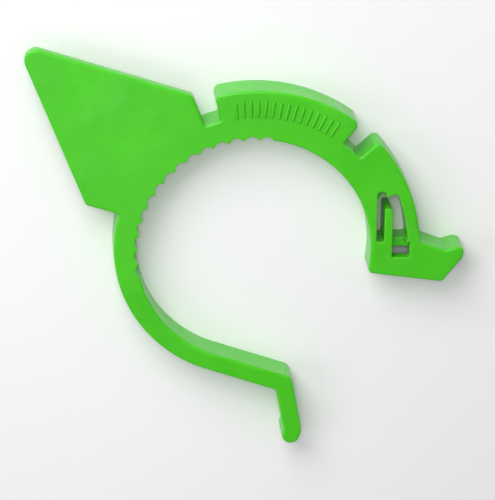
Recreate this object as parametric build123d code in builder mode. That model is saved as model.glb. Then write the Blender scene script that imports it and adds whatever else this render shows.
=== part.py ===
from build123d import *
from math import cos, degrees, hypot, radians, sin
import os

# An open plastic ring that springs round a wheel nut and points at its neighbour.
# It lies on its back: the ring's axis is Z, the back face is at z = 0 and the pointer runs along -X.
# A "turn" is an angle about the ring's axis, counted from the pointer's centre line.
# Plus turns go towards the strap, minus turns towards the two blocks.

# Ring
bore_radius = 22.0            # the corners of the largest nut it fits
band_thickness = 4.6          # how thick the band is, from bore to outside
depth = 7.0                   # how deep the ring is along its axis
edge_round = 0.45             # on the front's long edges
root_round = 0.5              # in the inner corners where something rises from the band
hair = 0.001                  # two radii closer than this are the same

# Grip scallops inside the ring
scallop_pitch = 7.5           # degrees from one to the next
scallop_depth = 0.65
scallop_land = 0.35           # plain bore left between two of them
scallop_reach = 58.0          # turn at which the last one ends, on both sides of the pointer

# Pointer plate, level with the front face
pointer_point = 60.4          # from the ring's axis to where the two slanting sides would meet
pointer_tip_radius = 2.2
pointer_half_turn = 26.0      # its two sides run straight out from the ring at this turn
pointer_shoulder = 33.0       # radius at which the sides turn in towards the tip
pointer_shoulder_round = 1.0
pointer_thickness = 2.0
pointer_root_thickness = 3.4  # the plate is thicker close to the ring

# The two blocks that stand on the band, with a thin hinge before each
hinge_spacing = 60.0          # one corner of a hexagon nut to the next
hinge_turn = 29.5             # turn of the first hinge's middle
first_hinge_width = 3.1       # along the outside of the band
second_hinge_width = 4.2
block_radius = 31.5
block_corner_round = 1.2

# Latch: the last block, with a window, a springy tongue, a sunk bar and a slit
end_turn = 149.5              # turn at which the end face meets the bore
end_slant = 4.5               # the end face leans towards the block by this much
end_corner_round = 1.0
front_wall = 2.2              # front of the latch where its back is hollow
window_lean = 8.0             # the window stands off the end face's square by this much
window_inset = 1.5            # from the bore to the gap beside the tongue
window_reach = 7.0            # from the bore to its outer side, which follows the ring
window_outer_wall = 2.3
window_side_height = 13.0     # where the inner side turns in to the sloping top
window_top_inset = 2.8
window_top_height = 15.0      # at the top's low end
window_top_slope = 17.0       # degrees
window_corner_round = 0.5
ledge_width = 1.7             # the front opens further than the back at the window's top corner
ledge_height = 3.2
ledge_drop = 3.0
tongue_inset = 3.0            # from the bore
tongue_thickness = 1.5
tongue_tip_height = 12.8
tongue_tip_round = 0.6
slit_floor = 3.1
slit_height = 1.4
slit_length = 3.4
bar_thickness = 1.7           # between the slit and the window
bar_drop = 2.5                # the bar lies this far below the front face

# Hooked lug at the end of the latch, measured along the end face and up from it
lug_root_reach = 8.4          # where its outline leaves the block
lug_root_height = 9.3
lug_ramp_reach = 9.0          # foot of the steep side, where the ramp starts
lug_ramp_height = 7.4
lug_seat_reach = 13.9         # the valley between ramp and hook
lug_seat_height = 6.3
lug_hook_reach = 15.7         # where the hook's top starts
lug_hook_rise = 0.9           # the hook stands this far above the valley
lug_reach = 17.5              # outermost point
lug_shoulder_height = 5.3     # from here the outer edge leans in
lug_foot_reach = 14.4
lug_round = 0.8
lug_wall = 1.1                # round the hollow in its back

# Strap that runs on from the pointer's other side
strap_end_thickness = 3.4
strap_straight_turn = 114.0   # where the curve runs out into a straight
strap_straight_length = 14.5
tab_bend = 60.0               # how far the end is bent outwards
tab_length = 9.2
tab_curl_radius = 2.6         # the last bit of the tab curls on outwards
tab_curl = 38.0


def spot(radius, turn):
    """The point at this radius and turn."""
    return (-radius * cos(radians(turn)), -radius * sin(radians(turn)))


def arc_turn(length, radius):
    """The turn that a length takes up along a circle of this radius."""
    return degrees(length / radius)


def level_plane(turn, origin=(0, 0)):
    """A level plane at the back face whose X runs in the direction that points outwards at this turn."""
    return Plane(origin=(*origin, 0), x_dir=(*spot(1, turn), 0), z_dir=(0, 0, 1))


def from_axis(point):
    """How far a point lies from the ring's axis."""
    return hypot(point.X, point.Y)


def spread(first, last):
    """First, middle and last value, for an arc through three points."""
    return (first, (first + last) / 2, last)


def wedge(radius, first_turn, last_turn):
    """The outline of a slice of a disc, from the ring's axis out to the radius."""
    arc = ThreePointArc(*(spot(radius, turn) for turn in spread(first_turn, last_turn)))
    Polyline(arc @ 1, (0, 0), arc @ 0)


band_radius = bore_radius + band_thickness
window_outer = bore_radius + window_reach
latch_radius = window_outer + window_outer_wall
latch_hinge_turn = hinge_turn + hinge_spacing
smooth_radius = bore_radius + scallop_depth + edge_round
first_half = arc_turn(first_hinge_width, band_radius) / 2
second_half = arc_turn(second_hinge_width, band_radius) / 2
block_start = hinge_turn + first_half
block_end = latch_hinge_turn - second_half
latch_start = latch_hinge_turn + second_half

# The end face: X runs out along it from the bore, Y runs up into the latch block
end_corner = spot(bore_radius, -end_turn)
end_frame = level_plane(end_slant - end_turn, end_corner)
# The window's frame starts at the same corner, with Y along the tongue
window_frame = level_plane(end_slant + window_lean - end_turn, end_corner)
window_floor = slit_floor + slit_height + bar_thickness
slit_inset = tongue_inset + tongue_thickness

with BuildPart() as wheel_nut_indicator:
    # The band, from the end face round to the far side of the pointer
    with BuildSketch():
        with BuildLine():
            wedge(band_radius, -end_turn, pointer_half_turn)
        make_face()
    # The strap's curved part gets thinner towards its end
    with BuildSketch():
        strap_outer_end = bore_radius + strap_end_thickness
        strap_middle_turn = (pointer_half_turn + strap_straight_turn) / 2
        strap_middle_radius = (band_radius + strap_outer_end) / 2
        with BuildLine():
            outer = ThreePointArc(
                spot(band_radius, pointer_half_turn),
                spot(strap_middle_radius, strap_middle_turn),
                spot(strap_outer_end, strap_straight_turn),
            )
            Polyline(outer @ 1, (0, 0), outer @ 0)
        make_face()
    extrude(amount=depth)

    # The block between the two hinges, and the latch block
    for radius, first_turn, last_turn in (
        (block_radius, block_start, block_end),
        (latch_radius, latch_start, end_turn),
    ):
        with BuildSketch() as block_outline:
            with BuildLine():
                wedge(radius, -last_turn, -first_turn)
            make_face()
            fillet(block_outline.vertices().sort_by(from_axis)[-2:], block_corner_round)
        extrude(amount=depth)

    # Pointer: a plate with a rounded tip, level with the front face
    with BuildSketch(Plane.XY.offset(depth)) as pointer_outline:
        with BuildLine():
            Polyline(
                (0, 0),
                spot(pointer_shoulder, pointer_half_turn),
                spot(pointer_point, 0),
                spot(pointer_shoulder, -pointer_half_turn),
                close=True,
            )
        make_face()
        middle, side, other_side, point = pointer_outline.vertices().sort_by(from_axis)
        fillet([side, other_side], pointer_shoulder_round)
        fillet(pointer_outline.vertices().sort_by(from_axis)[-1], pointer_tip_radius)
    extrude(amount=-pointer_thickness)
    with BuildSketch(Plane.XY.offset(depth)):
        with BuildLine():
            wedge(pointer_shoulder - pointer_shoulder_round, -pointer_half_turn, pointer_half_turn)
        make_face()
    extrude(amount=-pointer_root_thickness)

    # The end face is cut straight, then the hooked lug grows out along it
    with BuildSketch(end_frame):
        Rectangle(latch_radius, band_thickness, align=(Align.MIN, Align.MAX))
    extrude(amount=depth, mode=Mode.SUBTRACT)
    hook_height = lug_seat_height + lug_hook_rise
    with BuildSketch(end_frame) as lug_outline:
        with BuildLine():
            Polyline(
                (slit_inset, 0),
                (slit_inset, lug_root_height),
                (lug_root_reach, lug_root_height),
                (lug_ramp_reach, lug_ramp_height),
                (lug_seat_reach, lug_seat_height),
                (lug_hook_reach, hook_height),
                (lug_reach, hook_height),
                (lug_reach, lug_shoulder_height),
                (lug_foot_reach, 0),
                close=True,
            )
        make_face()
        fillet(lug_outline.vertices().sort_by(Axis.X)[-6:], lug_round)
    extrude(amount=depth)

    # The bore, and its scallops
    with BuildSketch():
        Circle(bore_radius)
    extrude(amount=depth, mode=Mode.SUBTRACT)
    half_width = (radians(scallop_pitch) * bore_radius - scallop_land) / 2
    half_pitch_drop = bore_radius - (bore_radius**2 - half_width**2) ** 0.5
    rise = scallop_depth + half_pitch_drop
    scallop_radius = (half_width**2 + rise**2) / (2 * rise)
    scallop_centre = bore_radius + scallop_depth - scallop_radius
    scallop_count = 2 * int(scallop_reach / scallop_pitch) + 1
    with BuildSketch():
        for number in range(scallop_count):
            turn = (number - (scallop_count - 1) / 2) * scallop_pitch
            with Locations(spot(scallop_centre, turn)):
                Circle(scallop_radius)
    extrude(amount=depth, mode=Mode.SUBTRACT)

    # Window with its tongue: straight inside, and round with the ring outside
    with BuildSketch(window_frame):
        with BuildLine():
            inner_side = Polyline(
                (latch_radius, window_floor),
                (window_inset, window_floor),
                (window_inset, window_side_height),
                (window_top_inset, window_top_height),
            )
            window_top = PolarLine(inner_side @ 1, window_reach, window_top_slope)
            Line(window_top @ 1, inner_side @ 0)
        make_face()
        with Locations(window_frame.to_local_coords(Vector(0, 0, 0))):
            Circle(window_outer, mode=Mode.INTERSECT)
        fillet(vertices(), window_corner_round)
        with BuildLine():
            Polyline(
                (tongue_inset, 0),
                (tongue_inset, tongue_tip_height),
                (slit_inset, tongue_tip_height),
                (slit_inset, 0),
                close=True,
            )
        make_face(mode=Mode.SUBTRACT)
        fillet(vertices().filter_by_position(Axis.Y, tongue_tip_height, tongue_tip_height), tongue_tip_round)
    extrude(amount=depth, mode=Mode.SUBTRACT)

    # From the front: a ledge in the window's top corner, and the drop over the sunk bar
    with BuildSketch(window_frame.offset(depth)):
        with Locations((window_inset, window_side_height)):
            RectangleRounded(ledge_width, ledge_height, window_corner_round, align=Align.MIN)
    extrude(amount=-ledge_drop, mode=Mode.SUBTRACT)
    with BuildSketch(window_frame.offset(depth)):
        with Locations((slit_inset, slit_floor)):
            Rectangle(slit_length, window_floor - slit_floor, align=Align.MIN)
    extrude(amount=-bar_drop, mode=Mode.SUBTRACT)

    # The slit below the bar
    with BuildSketch(window_frame):
        with Locations((slit_inset, slit_floor)):
            Rectangle(slit_length, slit_height, align=Align.MIN)
    extrude(amount=depth, mode=Mode.SUBTRACT)

    # The back is hollow behind the slit and the lug, with an even wall round it
    slit_top = (slit_inset, slit_floor + slit_height)
    slit_corner = end_frame.to_local_coords(window_frame.from_local_coords(slit_top))
    with BuildSketch(end_frame):
        with BuildLine():
            Polyline(
                (slit_corner.X, lug_wall),
                (slit_corner.X, slit_corner.Y),
                (lug_reach - 2 * lug_wall, slit_corner.Y),
                (lug_foot_reach - lug_wall, lug_wall),
                close=True,
            )
        make_face()
        fillet(vertices(), window_corner_round)
    extrude(amount=depth - front_wall, mode=Mode.SUBTRACT)

    # Upright edges: the bore's end corner, and the inner corners where something rises from the band
    upright = wheel_nut_indicator.edges().filter_by(Axis.Z)
    fillet(upright.sort_by_distance(end_frame.origin)[0], end_corner_round)
    upright = wheel_nut_indicator.edges().filter_by(Axis.Z)
    roots = [edge for edge in upright if abs(from_axis(edge @ 0.5) - band_radius) < hair]
    fillet(roots, root_round)

    # The strap's straight end and the tab bent outwards from it, drawn round their middle line
    half_strap = strap_end_thickness / 2
    with BuildSketch(level_plane(strap_straight_turn)):
        with BuildLine():
            straight = Line(
                (bore_radius + half_strap, 0),
                (bore_radius + half_strap, strap_straight_length),
            )
            tab = PolarLine(straight @ 1, tab_length, 90 - tab_bend)
            JernArc(tab @ 1, tab % 1, tab_curl_radius, -tab_curl)
            offset(amount=half_strap)
        make_face()
    extrude(amount=depth)

    # The front's long edges are rounded; the back lies on the mould's parting plane and stays sharp
    front = wheel_nut_indicator.faces().sort_by(Axis.Z)[-1]
    rim = [edge for edge in front.outer_wire().edges() if from_axis(edge @ 0.5) > smooth_radius]
    fillet(rim, edge_round)

wheel_nut_indicator.part.label = "wheel_nut_indicator"
os.makedirs("parts", exist_ok=True)
export_step(wheel_nut_indicator.part, "parts/wheel_nut_indicator.step")
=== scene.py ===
# %% [markdown]
# # A wheel nut indicator in bright green plastic
# The real object is one moulding that clips round a wheel nut and points at the nut beside it.
# When a nut works loose, its pointer turns away, and that is seen from a few steps off.
# This lesson dresses the finished solid for a picture. Its shape is already right, so the work lies
# in the plastic, in a few raised marks, and in the light.

# %% Open the frame
import math

import bmesh
import bpy
import numpy as np
from mathutils import Matrix, Vector


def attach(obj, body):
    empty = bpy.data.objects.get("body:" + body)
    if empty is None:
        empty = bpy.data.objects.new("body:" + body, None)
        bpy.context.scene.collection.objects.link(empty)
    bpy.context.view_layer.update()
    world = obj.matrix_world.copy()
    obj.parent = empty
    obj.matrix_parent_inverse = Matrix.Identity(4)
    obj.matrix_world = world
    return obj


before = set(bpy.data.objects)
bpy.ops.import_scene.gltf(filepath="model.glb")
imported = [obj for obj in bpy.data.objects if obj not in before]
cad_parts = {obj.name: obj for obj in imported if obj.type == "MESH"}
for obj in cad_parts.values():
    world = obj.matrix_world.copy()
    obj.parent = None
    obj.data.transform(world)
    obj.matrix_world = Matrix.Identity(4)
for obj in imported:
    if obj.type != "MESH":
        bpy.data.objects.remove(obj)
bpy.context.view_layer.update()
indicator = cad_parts["wheel_nut_indicator"]

# %% [markdown]
# ## Places on the ring
# A part that is laid out round a ring is easiest to reach in turns and radii. The ring's axis is Z
# and the pointer lies along minus X, so a turn is counted from there: plus towards the strap, minus
# towards the two blocks. One small function turns whole arrays of them into places at once.

# %% Turns and radii
MM = 0.001
depth = 7.0                  # the front face's height above the back face
pointer_reach = 60.4         # from the ring's axis to where the pointer's sides would meet


def on_ring(radius, turn, height):
    """Places in metres from mm and degrees: x = -radius cos(turn), y = -radius sin(turn)."""
    angle = np.radians(turn)
    x = -radius * np.cos(angle)
    y = -radius * np.sin(angle)
    return np.stack(np.broadcast_arrays(x, y, height), axis=-1) * MM


tip = Vector(on_ring(pointer_reach, 0.0, depth))
print("pointer's tip:", np.round(tip, 4))

# %% [markdown]
# ## Directions in the picture
# The ring lies on its back and is seen from high above, with the pointer running up to the left.
# Two flat directions say that plainly: one that runs right in the picture and one that runs up it.
# The lamps use them too, so the light keeps its place in the picture if the pointer is turned.

# %% Right and up on the floor
pointer_in_picture = 136.3   # degrees, counted from the right
high = Vector((0.0, 0.0, 1.0))

heading = math.radians(180.0 - pointer_in_picture)
right_floor = Vector((math.cos(heading), math.sin(heading), 0.0))
up_floor = high.cross(right_floor)
print("right in the picture is", np.round(right_floor, 3))

# %% [markdown]
# ## Where the camera looks from
# It stands over the upper left side, so that the outer walls of the blocks show as a pale rim above
# their faces. Its three own axes are built from that one direction with cross products.

# %% The camera's axes
camera_elevation = 69.0      # degrees above the floor
camera_side = 12.0           # degrees from straight up the picture towards the left

side, lean = math.radians(camera_side), math.radians(camera_elevation)
stand = up_floor * math.cos(side) - right_floor * math.sin(side)
back = stand * math.cos(lean) + high * math.sin(lean)
right = up_floor.cross(back).normalized()
up = back.cross(right)
print("camera looks from", np.round(back, 3))

# %% [markdown]
# ## How far away the camera stands
# All corners of the solid are measured along the camera's own axes. Half way between the outermost
# ones is the middle of the picture, and their spread, with a margin, gives the distance. A long
# lens from far off keeps the pointer from looking too large beside the ring.

# %% Camera
lens, sensor = 220.0, 36.0
margin = 1.15                # picture width over the object's width
picture_width, picture_height = 495, 500

corners = np.empty(len(indicator.data.vertices) * 3)
indicator.data.vertices.foreach_get("co", corners)
corners = corners.reshape(-1, 3)
across = corners @ np.array(right)
along = corners @ np.array(up)
middle = right * (across.max() + across.min()) / 2 + up * (along.max() + along.min()) / 2
shown = max(np.ptp(across), np.ptp(along) * picture_width / picture_height) * margin
distance = shown * lens / sensor * picture_height / picture_width

camera_data = bpy.data.cameras.new("camera")
camera_data.lens = lens
camera_data.sensor_width = sensor
camera_data.clip_start = 0.01
camera_data.clip_end = 20.0
camera = bpy.data.objects.new("camera", camera_data)
turned = Matrix((right, up, back)).transposed().to_4x4()
camera.matrix_world = Matrix.Translation(middle + back * distance) @ turned
bpy.context.scene.collection.objects.link(camera)
bpy.context.scene.camera = camera
print("camera is", round(distance * 1000), "mm away and shows", round(shown * 1000), "mm")

# %% [markdown]
# ## Helpers for material nodes
# A node material is a small chain of boxes. Two short helpers make a box with its values set and
# join it up in one line, so that each finish below reads from top to bottom.

# %% Node helpers
def fresh_material(name):
    """A material with an empty node tree, and its output."""
    material = bpy.data.materials.new(name)
    material.use_nodes = True
    tree = material.node_tree
    tree.nodes.clear()
    return material, tree, tree.nodes.new("ShaderNodeOutputMaterial")


def add(tree, kind, settings=None, **inputs):
    """A node of this kind. Each input is a value, or another node's output to link to."""
    node = tree.nodes.new("ShaderNode" + kind)
    for name, value in (settings or {}).items():
        setattr(node, name, value)
    for name, value in inputs.items():
        socket = node.inputs[name.replace("_", " ")]
        if isinstance(value, bpy.types.NodeSocket):
            tree.links.new(value, socket)
        else:
            socket.default_value = value
    return node


def speckle(tree, place, scale, detail, roughness=0.5):
    """Noise at a scale in spots per metre, from 0 to 1."""
    node = add(tree, "TexNoise", Vector=place, Scale=scale, Detail=detail, Roughness=roughness)
    return node.outputs["Fac"]


def remap(tree, value, low, high, to_low, to_high):
    """Stretches the values between low and high to another range, and stops at its ends."""
    ends = dict(zip(("From Min", "From Max", "To Min", "To Max"), (low, high, to_low, to_high)))
    node = add(tree, "MapRange", Value=value)
    for name, number in ends.items():
        node.inputs[name].default_value = number
    return node.outputs["Result"]


print("node helpers ready")

# %% [markdown]
# ## Colour of the plastic, with a painted edge highlight
# The real part is moulded in one shot of a strong yellow green. Slow clouds between two greens show
# where the melt cooled at different speeds. A paler green is painted on the edges as a highlight.
# An
# edge is found without touching the mesh: the Bevel node gives the normal that a rounded edge would
# have, and where it leaves the true normal there is an edge. Every pattern reads object
# coordinates, so it stays put.

# %% Colour
deep_green = (0.050, 0.510, 0.003, 1.0)
light_green = (0.070, 0.590, 0.006, 1.0)
# painted highlight: the paler green laid on the edges in place of the light they catch
edge_highlight_green = (0.190, 0.860, 0.030, 1.0)


def blend_of(tree, share, first, second):
    """A colour between two others. The share runs from 0, all the first, to 1, all the second."""
    node = add(tree, "Mix", {"data_type": "RGBA"})
    for index, value in ((0, share), (6, first), (7, second)):
        if isinstance(value, bpy.types.NodeSocket):
            tree.links.new(value, node.inputs[index])
        else:
            node.inputs[index].default_value = value
    return node.outputs[2]


def plastic_colour_with_edge_highlight(tree, place, rounded, true_normal):
    """Clouds between two greens, with a painted highlight: paler where the rounded normal leaves
    the true one.
    """
    clouds = speckle(tree, place, 85.0, 7.0, 0.66)
    body = blend_of(tree, remap(tree, clouds, 0.32, 0.70, 0.0, 1.0), deep_green, light_green)
    likeness = add(tree, "VectorMath", {"operation": "DOT_PRODUCT"})
    tree.links.new(rounded, likeness.inputs[0])
    tree.links.new(true_normal, likeness.inputs[1])
    # painted edge highlight: share of the paler green, larger where the rounded normal turns away
    edge = remap(tree, likeness.outputs["Value"], 0.995, 0.80, 0.0, 0.55)
    return blend_of(tree, edge, body, edge_highlight_green)


print("two greens and a paler one for the edges")

# %% [markdown]
# ## Gloss and skin of the plastic
# The faces keep the mould's grain, so their gloss changes from patch to patch. The upright walls
# are polished as they slide out of the mould, so they mirror more. A wall is told from a face by
# how far its normal points up or down. Two bumps, one slow and one fine, make the skin: a faint
# sink where the plastic shrank, and the grain.

# %% Gloss and skin
def plastic_gloss(tree, place, true_normal):
    """Roughness from a patchy noise, and a shine that is full where the normal lies level."""
    patches = speckle(tree, place, 160.0, 4.0, 0.60)
    roughness = remap(tree, patches, 0.3, 0.7, 0.24, 0.44)
    tilt = add(tree, "SeparateXYZ", Vector=true_normal).outputs["Z"]
    flat = add(tree, "Math", {"operation": "ABSOLUTE"})
    tree.links.new(tilt, flat.inputs[0])
    return roughness, remap(tree, flat.outputs[0], 0.15, 0.85, 1.0, 0.45)


def plastic_skin(tree, place, rounded):
    """The rounded normal, moved by a slow sink and then by a fine grain."""
    sink = speckle(tree, place, 220.0, 1.0)
    grain = speckle(tree, place, 1000.0, 1.0)
    waves = add(tree, "Bump", Height=sink, Strength=0.30, Distance=0.06 * MM, Normal=rounded)
    waved = waves.outputs["Normal"]
    skin = add(tree, "Bump", Height=grain, Strength=0.25, Distance=0.020 * MM, Normal=waved)
    return skin.outputs["Normal"]


print("gloss in patches, walls polished, skin with a faint grain")

# %% [markdown]
# ## The finished plastic
# A little light goes into this plastic and comes out beside the place where it went in. Subsurface
# scattering does that: green travels furthest, so thin places glow and deep corners stay bottle
# green. The solid keeps its mesh and only gets this material in its slot.

# %% The plastic
def green_plastic():
    """The material: colour, gloss and skin on one shader that scatters a little light inside."""
    material, tree, output = fresh_material("bright_green_plastic")
    place = add(tree, "TexCoord").outputs["Object"]
    rounded = add(tree, "Bevel", {"samples": 6}, Radius=0.35 * MM).outputs["Normal"]
    true_normal = add(tree, "NewGeometry").outputs["Normal"]
    roughness, shine = plastic_gloss(tree, place, true_normal)
    shader = add(
        tree,
        "BsdfPrincipled",
        Base_Color=plastic_colour_with_edge_highlight(tree, place, rounded, true_normal),
        Roughness=roughness,
        Normal=plastic_skin(tree, place, rounded),
        IOR=1.50,
        Specular_IOR_Level=shine,
        Subsurface_Weight=0.35,
        Subsurface_Radius=(0.35, 1.0, 0.20),
        Subsurface_Scale=1.6 * MM,
    )
    tree.links.new(shader.outputs["BSDF"], output.inputs["Surface"])
    return material


plastic = green_plastic()
for slot in indicator.material_slots:
    slot.material = plastic
print("plastic on", len(indicator.material_slots), "slot")

# %% [markdown]
# ## One raised rib
# The face of the block between the two notches carries a row of raised marks. Here they are plain
# upright ribs that a thumb can feel. A rib is a rounded bar with a pillow on top. Its surface is a
# grid of two parameters: one goes round the bar's outline, the other shrinks that outline to the
# bar's middle line while the surface climbs along a quarter round.

# %% A rib's surface
rib_length = 3.3             # out from the ring's axis
rib_width = 0.62
rib_rise = 0.32
rib_sink = 0.05              # how deep a rib's skirt goes into the block


def rib_grid(rings=7, points=28):
    """One rib, closed above and below: rings of a stadium outline that shrink to its middle line.

    Ring share s runs from 0 at the outline to 1 at the middle. The half width is w(1 - s), and the
    height is rise times the square root of 1 - (1 - s) squared, a quarter round. The first two
    rings are the rib's underside, which lies a little inside the block.
    """
    share = np.concatenate(([1.0, 0.0], np.linspace(0.0, 1.0, rings)))[:, None]
    angle = np.linspace(0.0, 2 * np.pi, points, endpoint=False)[None, :]
    half_width = rib_width / 2
    straight = rib_length / 2 - half_width
    across = half_width * (1 - share) * np.cos(angle)
    along = half_width * (1 - share) * np.sin(angle) + straight * np.sign(np.sin(angle + 1e-9))
    height = rib_rise * np.sqrt(1 - (1 - share) ** 2) * np.ones_like(angle)
    height[:2] = -rib_sink
    return across, along, height


rib_across, rib_along, rib_height = rib_grid()
rows, columns = rib_across.shape
print("one rib:", rows, "rings of", columns, "points")

# %% [markdown]
# ## From grids to meshes
# A grid that closes on itself needs four corner numbers for each of its quads. They follow from the
# row and the column alone, so they are worked out for the whole grid at once. The second helper
# hands such arrays to Blender without a loop over the points, and merges the rings that shrank to a
# line, so that the shell has no open seam.

# %% Mesh helpers
def rows_of_quads(rows, columns):
    """Quads of a grid that closes on itself along its columns."""
    row = np.arange(rows - 1)[:, None] * columns
    column = np.arange(columns)[None, :]
    beside = (column + 1) % columns
    above = row + columns
    quads = (row + column, row + beside, above + beside, above + column)
    return np.stack(quads, axis=-1).reshape(-1, 4)


def made_mesh(name, points, quads):
    """A mesh object from whole arrays, merged where points meet, shaded smooth."""
    mesh = bpy.data.meshes.new(name)
    mesh.vertices.add(len(points))
    mesh.vertices.foreach_set("co", points.ravel())
    mesh.loops.add(quads.size)
    mesh.loops.foreach_set("vertex_index", quads.ravel().astype(np.int32))
    mesh.polygons.add(len(quads))
    mesh.polygons.foreach_set("loop_start", np.arange(len(quads), dtype=np.int32) * 4)
    mesh.update(calc_edges=True)
    merged = bmesh.new()
    merged.from_mesh(mesh)
    bmesh.ops.remove_doubles(merged, verts=merged.verts, dist=1e-7)
    merged.to_mesh(mesh)
    merged.free()
    mesh.shade_smooth()
    piece = bpy.data.objects.new(name, mesh)
    bpy.context.scene.collection.objects.link(piece)
    return piece


print("quads of one rib:", len(rows_of_quads(rows, columns)))

# %% [markdown]
# ## A row of ribs round the ring
# All ribs come from the one grid. Each copy gets its own turn, added to the whole grid in one step,
# so the row follows the ring and every rib points at its axis. The row ends well inside the block's
# rounded corners.

# %% Ribs on the block
rib_count = 15
rib_middle_radius = 28.0
block_turns = (-32.8, -85.0) # from one hinge notch to the next
row_inset = 6.5              # degrees from a notch to the nearest rib

first, last = block_turns
turns = np.linspace(first - row_inset, last + row_inset, rib_count)[:, None, None]
rib_radius = rib_middle_radius + rib_along[None]
rib_turn = turns - np.degrees(rib_across[None] / rib_middle_radius)
rib_points = on_ring(rib_radius, rib_turn, depth + rib_height[None])
one_rib = rows_of_quads(rows, columns)
steps = (np.arange(rib_count) * rows * columns)[:, None, None]
all_ribs = (one_rib[None] + steps).reshape(-1, 4)
ribs = made_mesh("block_ribs", rib_points.reshape(-1, 3), all_ribs)
ribs.data.materials.append(plastic)
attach(ribs, "root")
print("ribs:", rib_count, "with", len(ribs.data.polygons), "faces")

# %% [markdown]
# ## The floor
# A plain pale floor takes the shadow and throws some of its light back up into the plastic. The
# upright walls mirror it at a flat angle, which is why they look paler than the faces. It is matt
# card with hardly any shine of its own, so that no lamp shows in it from a low side.

# %% Floor
floor_half = 1.5             # metres
floor_height = -0.02 * MM    # a hair below the back face, so that the two don't flicker
corner = floor_half * np.array([(-1, -1), (1, -1), (1, 1), (-1, 1)])
floor_points = np.column_stack((corner, np.full(4, floor_height)))
floor = made_mesh("floor", floor_points, np.array([[0, 1, 2, 3]]))

paper, tree, output = fresh_material("pale_floor")
place = add(tree, "TexCoord").outputs["Object"]
tone = remap(tree, speckle(tree, place, 6.0, 2.0), 0.3, 0.7, 0.86, 0.90)
shader = add(tree, "BsdfPrincipled", Base_Color=tone, Roughness=0.9, Specular_IOR_Level=0.15)
tree.links.new(shader.outputs["BSDF"], output.inputs["Surface"])
floor.data.materials.append(paper)
print("floor", round(2 * floor_half * 1000), "mm wide")

# %% [markdown]
# ## Lights
# A white world fills every shadow a little, and a large lamp beyond the top of the picture lights
# the upper walls, with a dimmer one at the left. A small one in line with the camera reaches into
# the window and through the slit below it. The last stands where the pointer's tip would mirror it
# to the camera, so the face is a touch lighter there and deepens towards the strap. The lamps are
# kept low: at a plain level of light a colour looks as it is written.

# %% Lamps
world_light = 0.32


def soft_lamp(name, place, size, power):
    """A square lamp at this place, of this size in metres and power in watts, facing the object."""
    data = bpy.data.lights.new(name, "AREA")
    data.size = size
    data.energy = power
    lamp = bpy.data.objects.new(name, data)
    lamp.location = place
    lamp.rotation_euler = (place - middle).to_track_quat("Z", "Y").to_euler()
    bpy.context.scene.collection.objects.link(lamp)
    print(name, "is", round((place - middle).length * 1000), "mm away")
    return lamp


towards_top = (up_floor * 1.1 + high - right_floor * 0.55).normalized()
towards_left = (high * 0.7 - right_floor * 0.9).normalized()
to_camera = (camera.location - tip).normalized()
mirrored = Vector((-to_camera.x, -to_camera.y, to_camera.z))

soft_lamp("top_lamp", middle + towards_top * 0.42, 0.28, 1.30)
soft_lamp("side_lamp", middle + towards_left * 0.6, 0.25, 0.45)
soft_lamp("camera_lamp", middle + back * 0.6, 0.12, 0.7)
soft_lamp("sheen_lamp", tip + mirrored * 0.35, 0.10, 0.06)

world = bpy.data.worlds.new("studio")
bpy.context.scene.world = world
world.use_nodes = True
sky = world.node_tree.nodes["Background"]
sky.inputs["Color"].default_value = (1.0, 1.0, 1.0, 1.0)
sky.inputs["Strength"].default_value = world_light

bpy.context.scene.view_settings.view_transform = "Standard"
